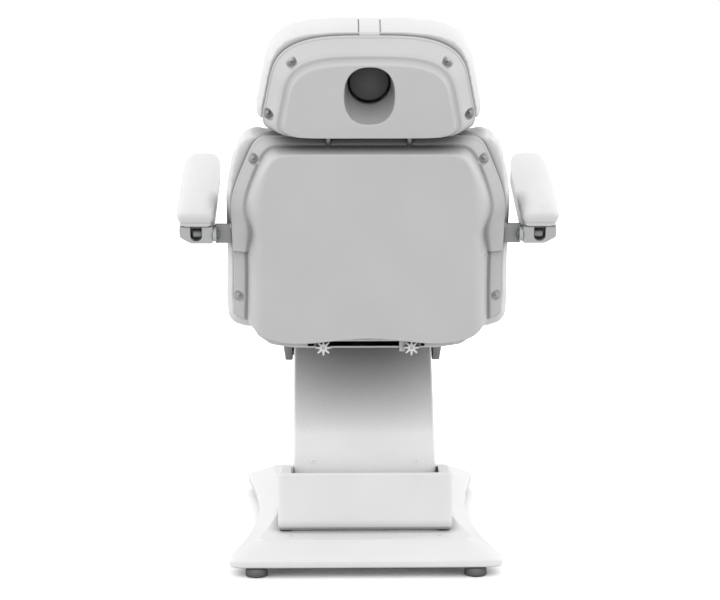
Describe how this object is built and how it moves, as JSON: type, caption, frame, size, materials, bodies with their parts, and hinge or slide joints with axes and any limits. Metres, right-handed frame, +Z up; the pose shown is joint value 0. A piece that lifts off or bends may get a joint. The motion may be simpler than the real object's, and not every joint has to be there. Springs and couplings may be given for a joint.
{
  "type": "facial bed",
  "caption": "Electric facial bed with a raised backrest, headrest with a face slot, swinging armrests, legrest and a pedestal lift on a moulded base.",
  "frame": {"origin": "on the floor, at the middle of the bed's overall length and width", "axes": "+X to the right seen from behind the backrest, +Y from the head end to the foot end, +Z up"},
  "size_m": [0.872, 1.4634, 1.353],
  "materials": {
    "white_vinyl": "satin white vinyl",
    "pale_grey_shell": "fine-grained moulding",
    "white_plastic": "smooth moulding",
    "white_paint": "powder coat",
    "grey_paint": "powder coat",
    "grey_plastic": "moulded",
    "foot_rubber": "moulded",
    "bright_steel": "turned",
    "dark_foam": "covered foam",
    "motor_black": "moulded"
  },
  "bodies": {
    "base": {"base_cover": "white_plastic", "base_cross_front": "grey_paint", "base_cross_rear": "grey_paint", "base_rail_left": "grey_paint", "base_rail_right": "grey_paint", "foot_front_left": "foot_rubber", "foot_front_right": "foot_rubber", "foot_rear_left": "foot_rubber", "foot_rear_right": "foot_rubber", "tower_plate_left": "grey_paint", "tower_plate_right": "grey_paint", "pivot_housing": "white_plastic", "lift_shaft": "bright_steel", "link_shaft": "bright_steel", "lift_motor": "motor_black", "control_box": "motor_black"},
    "lift_rod": {"lift_rod": "bright_steel"},
    "lift_arm": {"lift_arm": "grey_paint", "lift_arm_cover": "white_paint"},
    "parallel_link": {"parallel_link": "grey_paint"},
    "seat": {"ear_arm_pin": "bright_steel", "ear_left": "grey_paint", "ear_link_pin": "bright_steel", "ear_right": "grey_paint", "seat_cross_front": "grey_paint", "seat_cross_rear": "grey_paint", "seat_cushion": "white_vinyl", "seat_rail_left": "grey_paint", "seat_rail_right": "grey_paint", "seat_shell": "pale_grey_shell", "back_motor": "motor_black", "leg_motor": "motor_black"},
    "back_rod": {"back_rod": "bright_steel"},
    "leg_rod": {"leg_rod": "bright_steel"},
    "back": {"back_cross_lower": "grey_paint", "back_cross_upper": "grey_paint", "back_cushion": "white_vinyl", "back_lever_pin": "bright_steel", "back_rail_left": "grey_paint", "back_rail_right": "grey_paint", "back_shell": "pale_grey_shell", "armrest_bar_left": "grey_paint", "armrest_bar_right": "grey_paint"},
    "armrest_left": {"armrest_housing_left": "grey_plastic", "armrest_pad_left": "white_vinyl"},
    "armrest_right": {"armrest_housing_right": "grey_plastic", "armrest_pad_right": "white_vinyl"},
    "headrest": {"head_cushion": "white_vinyl", "head_post_left": "bright_steel", "head_post_right": "bright_steel", "head_shell": "pale_grey_shell"},
    "face_plug": {"face_plug": "dark_foam"},
    "pillow": {"neck_pillow": "white_vinyl", "pillow_strap": "white_vinyl"},
    "legrest": {"leg_cushion": "white_vinyl", "leg_rail_left": "grey_paint", "leg_rail_right": "grey_paint", "leg_shell": "pale_grey_shell", "leg_tie_bar": "bright_steel"}
  },
  "joints": [
    {"name": "lift", "type": "hinge", "parent": "base", "child": "lift_arm", "pos_m": [0, -0.16919, 0.175], "axis": [1, 0, 0], "range_deg": [0, 34]},
    {"name": "lift_push", "type": "slide", "parent": "base", "child": "lift_rod", "axis": [0, 1, 0], "range_m": [0, 0.07067]},
    {"name": "link_swing", "type": "hinge", "parent": "base", "child": "parallel_link", "pos_m": [0, -0.10419, 0.175], "axis": [1, 0, 0], "range_deg": [0, 34]},
    {"name": "seat_level", "type": "hinge", "parent": "lift_arm", "child": "seat", "pos_m": [0, 0.13081, 0.465], "axis": [1, 0, 0], "range_deg": [-34, 0]},
    {"name": "back_recline", "type": "hinge", "parent": "seat", "child": "back", "pos_m": [0, -0.43419, 0.67], "axis": [1, 0, 0], "range_deg": [0, 70]},
    {"name": "back_push", "type": "slide", "parent": "seat", "child": "back_rod", "axis": [0, 1, 0], "range_m": [0, 0.09801]},
    {"name": "leg_lower", "type": "hinge", "parent": "seat", "child": "legrest", "pos_m": [0, 0.23181, 0.67], "axis": [-1, 0, 0], "range_deg": [0, 50]},
    {"name": "leg_push", "type": "slide", "parent": "seat", "child": "leg_rod", "axis": [0, -1, 0], "range_m": [0, 0.07235]},
    {"name": "armrest_left_swing", "type": "hinge", "parent": "back", "child": "armrest_left", "pos_m": [-0.389, -0.55414, 0.85656], "axis": [1, 0, 0], "range_deg": [-60, 80]},
    {"name": "armrest_right_swing", "type": "hinge", "parent": "back", "child": "armrest_right", "pos_m": [0.389, -0.55414, 0.85656], "axis": [1, 0, 0], "range_deg": [-60, 80]},
    {"name": "head_slide", "type": "slide", "parent": "back", "child": "headrest", "axis": [0, -0.3007, 0.9537], "range_m": [0, 0.08]},
    {"name": "plug_pull", "type": "slide", "parent": "headrest", "child": "face_plug", "axis": [0, -0.9537, -0.3007], "range_m": [0, 0.19]},
    {"name": "pillow_off", "type": "slide", "parent": "headrest", "child": "pillow", "axis": [0, -0.3007, 0.9537], "range_m": [0, 0.3]}
  ],
  "couplings": [
    {"joint": "lift_push", "follows": "lift", "m_per_rad": 0.11825},
    {"joint": "link_swing", "follows": "lift", "ratio": 1},
    {"joint": "seat_level", "follows": "lift", "ratio": -1},
    {"joint": "back_push", "follows": "back_recline", "m_per_rad": 0.079811},
    {"joint": "leg_push", "follows": "leg_lower", "m_per_rad": 0.082328}
  ]
}
